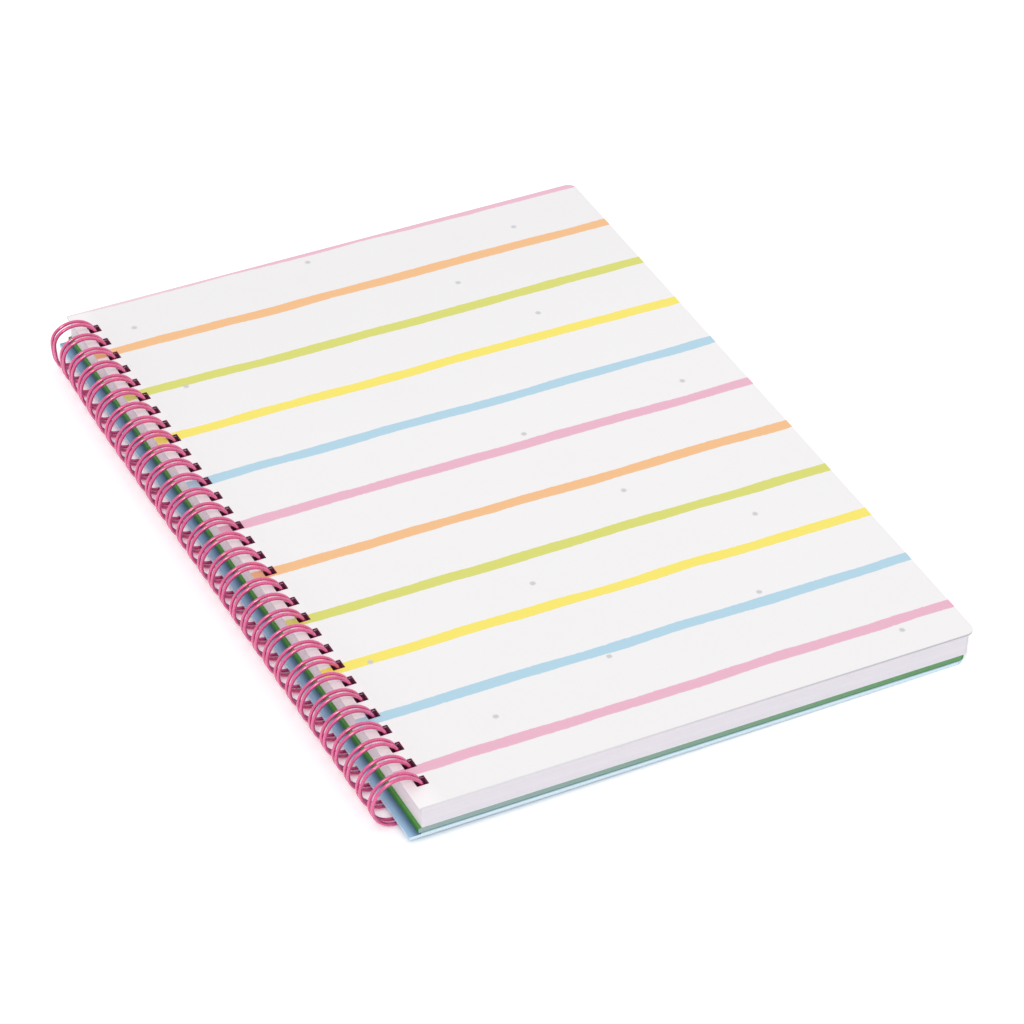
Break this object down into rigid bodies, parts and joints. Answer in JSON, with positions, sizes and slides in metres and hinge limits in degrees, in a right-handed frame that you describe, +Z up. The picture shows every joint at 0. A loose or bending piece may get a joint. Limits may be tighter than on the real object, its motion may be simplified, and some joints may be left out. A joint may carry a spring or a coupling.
{
  "type": "wire-bound notebook",
  "caption": "Closed notebook with striped card front cover, page block, green last section and blue board back cover, bound at the long side by a closed twin loop of coated wire.",
  "frame": {"origin": "middle of the box round the closed notebook, on the surface that it lies on", "axes": "+X from the spine to the fore edge, +Y along the spine, +Z up out of the front cover"},
  "size_m": [0.1566, 0.21, 0.0141],
  "materials": {
    "cover_print": "off-white laminated card printed with pastel stripes and small grey dots",
    "white_paper": "cut edges of white paper",
    "green_paper": "cut edges of green paper",
    "blue_board": "board covered in light blue printed paper",
    "pink_wire": "steel wire with a glossy pink nylon coat"
  },
  "bodies": {
    "pages": {"page_block": "white_paper", "green_section": "green_paper"},
    "front": {"front_cover": "cover_print"},
    "back": {"back_cover": "blue_board", "binding_wire": "pink_wire"}
  },
  "joints": [
    {"name": "front_cover_hinge", "type": "hinge", "parent": "pages", "child": "front", "pos_m": [-0.07124, 0, 0.00705], "axis": [0, -1, 0], "range_deg": [0, 180]},
    {"name": "back_cover_hinge", "type": "hinge", "parent": "pages", "child": "back", "pos_m": [-0.07124, 0, 0.00705], "axis": [0, -1, 0], "range_deg": [-180, 0]}
  ]
}
